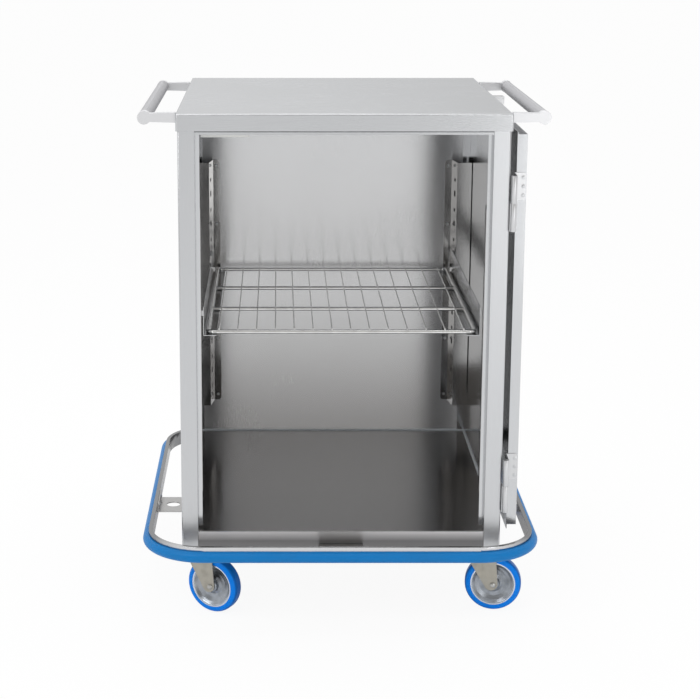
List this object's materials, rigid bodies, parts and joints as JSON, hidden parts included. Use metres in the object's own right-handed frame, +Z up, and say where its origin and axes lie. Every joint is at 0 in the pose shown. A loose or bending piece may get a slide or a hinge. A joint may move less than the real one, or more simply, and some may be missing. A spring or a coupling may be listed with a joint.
{
  "type": "case cart",
  "caption": "Closed stainless case cart on swivel casters, with a side-hung door standing open, a wire shelf on hooked slides, push handles and a blue bumper ring.",
  "frame": {"origin": "on the ground under the middle of the cabinet, where all tyres stand at Z = 0", "axes": "+Z up, +Y from the door opening to the back panel, +X towards the side where the door is hung"},
  "size_m": [0.887, 0.928, 1.1405],
  "materials": {
    "cabinet_steel": "fine brushed, satin",
    "door_steel": "fine brushed, satin",
    "hardware_steel": "polished",
    "shelf_wire": "bright wire",
    "bumper_steel": "satin",
    "bumper_vinyl": "smooth, satin",
    "arm_aluminium": "satin, very light",
    "grip_aluminium": "fine knurled",
    "catch_plastic": "plain",
    "caster_zinc": "zinc plated",
    "fork_zinc": "zinc plated, dull",
    "hub_metal": "machined rim, painted disc",
    "tyre_blue": "smooth polyurethane"
  },
  "bodies": {
    "cabinet": {"top_panel": "cabinet_steel", "header_rail": "cabinet_steel", "left_side_panel": "cabinet_steel", "right_side_panel": "cabinet_steel", "back_panel": "cabinet_steel", "floor_pan": "cabinet_steel", "front_base_channel": "cabinet_steel", "rear_base_channel": "cabinet_steel", "front_left_pilaster": "cabinet_steel", "front_right_pilaster": "cabinet_steel", "rear_left_pilaster": "cabinet_steel", "rear_right_pilaster": "cabinet_steel", "left_shelf_slide": "hardware_steel", "right_shelf_slide": "hardware_steel", "holdback_bracket": "hardware_steel", "upper_frame_leaf": "hardware_steel", "lower_frame_leaf": "hardware_steel", "hinge_pins": "hardware_steel", "hinge_frame_screws": "hardware_steel", "pilaster_screws": "hardware_steel", "bumper_screws": "hardware_steel", "bumper_rail": "bumper_steel", "bumper_brackets": "bumper_steel", "bumper_insert": "bumper_vinyl", "left_handle_arms": "arm_aluminium", "right_handle_arms": "arm_aluminium", "left_handle_grip": "grip_aluminium", "right_handle_grip": "grip_aluminium", "magnetic_catch": "catch_plastic", "holdback_magnet": "catch_plastic", "caster_plates": "caster_zinc", "caster_bolts": "caster_zinc"},
    "shelf": {"wire_shelf": "shelf_wire"},
    "door": {"door_outer_skin": "door_steel", "door_inner_skin": "door_steel", "upper_door_leaf": "hardware_steel", "lower_door_leaf": "hardware_steel", "hinge_door_screws": "hardware_steel", "door_pull": "hardware_steel", "strike_plate": "hardware_steel"},
    "front_left_swivel_fork": {"front_left_fork": "fork_zinc", "front_left_axle": "caster_zinc"},
    "front_left_wheel": {"front_left_hub": "hub_metal", "front_left_tyre": "tyre_blue"},
    "front_right_swivel_fork": {"front_right_fork": "fork_zinc", "front_right_axle": "caster_zinc"},
    "front_right_wheel": {"front_right_hub": "hub_metal", "front_right_tyre": "tyre_blue"},
    "rear_left_swivel_fork": {"rear_left_fork": "fork_zinc", "rear_left_axle": "caster_zinc"},
    "rear_left_wheel": {"rear_left_hub": "hub_metal", "rear_left_tyre": "tyre_blue"},
    "rear_right_swivel_fork": {"rear_right_fork": "fork_zinc", "rear_right_axle": "caster_zinc"},
    "rear_right_wheel": {"rear_right_hub": "hub_metal", "rear_right_tyre": "tyre_blue"}
  },
  "joints": [
    {"name": "door_swing", "type": "hinge", "parent": "cabinet", "child": "door", "pos_m": [0.3605, -0.388, 0.6], "axis": [0, 0, 1], "range_deg": [-270, 0]},
    {"name": "shelf_slide", "type": "slide", "parent": "cabinet", "child": "shelf", "axis": [0, -1, 0], "range_m": [0, 0.3]},
    {"name": "front_left_swivel", "type": "hinge", "parent": "cabinet", "child": "front_left_swivel_fork", "pos_m": [-0.3135, -0.313, 0.144], "axis": [0, 0, 1], "continuous": true},
    {"name": "front_left_spin", "type": "hinge", "parent": "front_left_swivel_fork", "child": "front_left_wheel", "pos_m": [-0.28289, -0.32997, 0.0635], "axis": [0.4848, 0.8746, 0], "continuous": true},
    {"name": "front_right_swivel", "type": "hinge", "parent": "cabinet", "child": "front_right_swivel_fork", "pos_m": [0.3135, -0.313, 0.144], "axis": [0, 0, 1], "continuous": true},
    {"name": "front_right_spin", "type": "hinge", "parent": "front_right_swivel_fork", "child": "front_right_wheel", "pos_m": [0.34816, -0.31787, 0.0635], "axis": [0.1392, 0.9903, 0], "continuous": true},
    {"name": "rear_left_swivel", "type": "hinge", "parent": "cabinet", "child": "rear_left_swivel_fork", "pos_m": [-0.3135, 0.313, 0.144], "axis": [0, 0, 1], "continuous": true},
    {"name": "rear_left_spin", "type": "hinge", "parent": "rear_left_swivel_fork", "child": "rear_left_wheel", "pos_m": [-0.28153, 0.29876, 0.0635], "axis": [0.4067, 0.9135, 0], "continuous": true},
    {"name": "rear_right_swivel", "type": "hinge", "parent": "cabinet", "child": "rear_right_swivel_fork", "pos_m": [0.3135, 0.313, 0.144], "axis": [0, 0, 1], "continuous": true},
    {"name": "rear_right_spin", "type": "hinge", "parent": "rear_right_swivel_fork", "child": "rear_right_wheel", "pos_m": [0.34831, 0.30934, 0.0635], "axis": [0.1045, 0.9945, 0], "continuous": true}
  ]
}
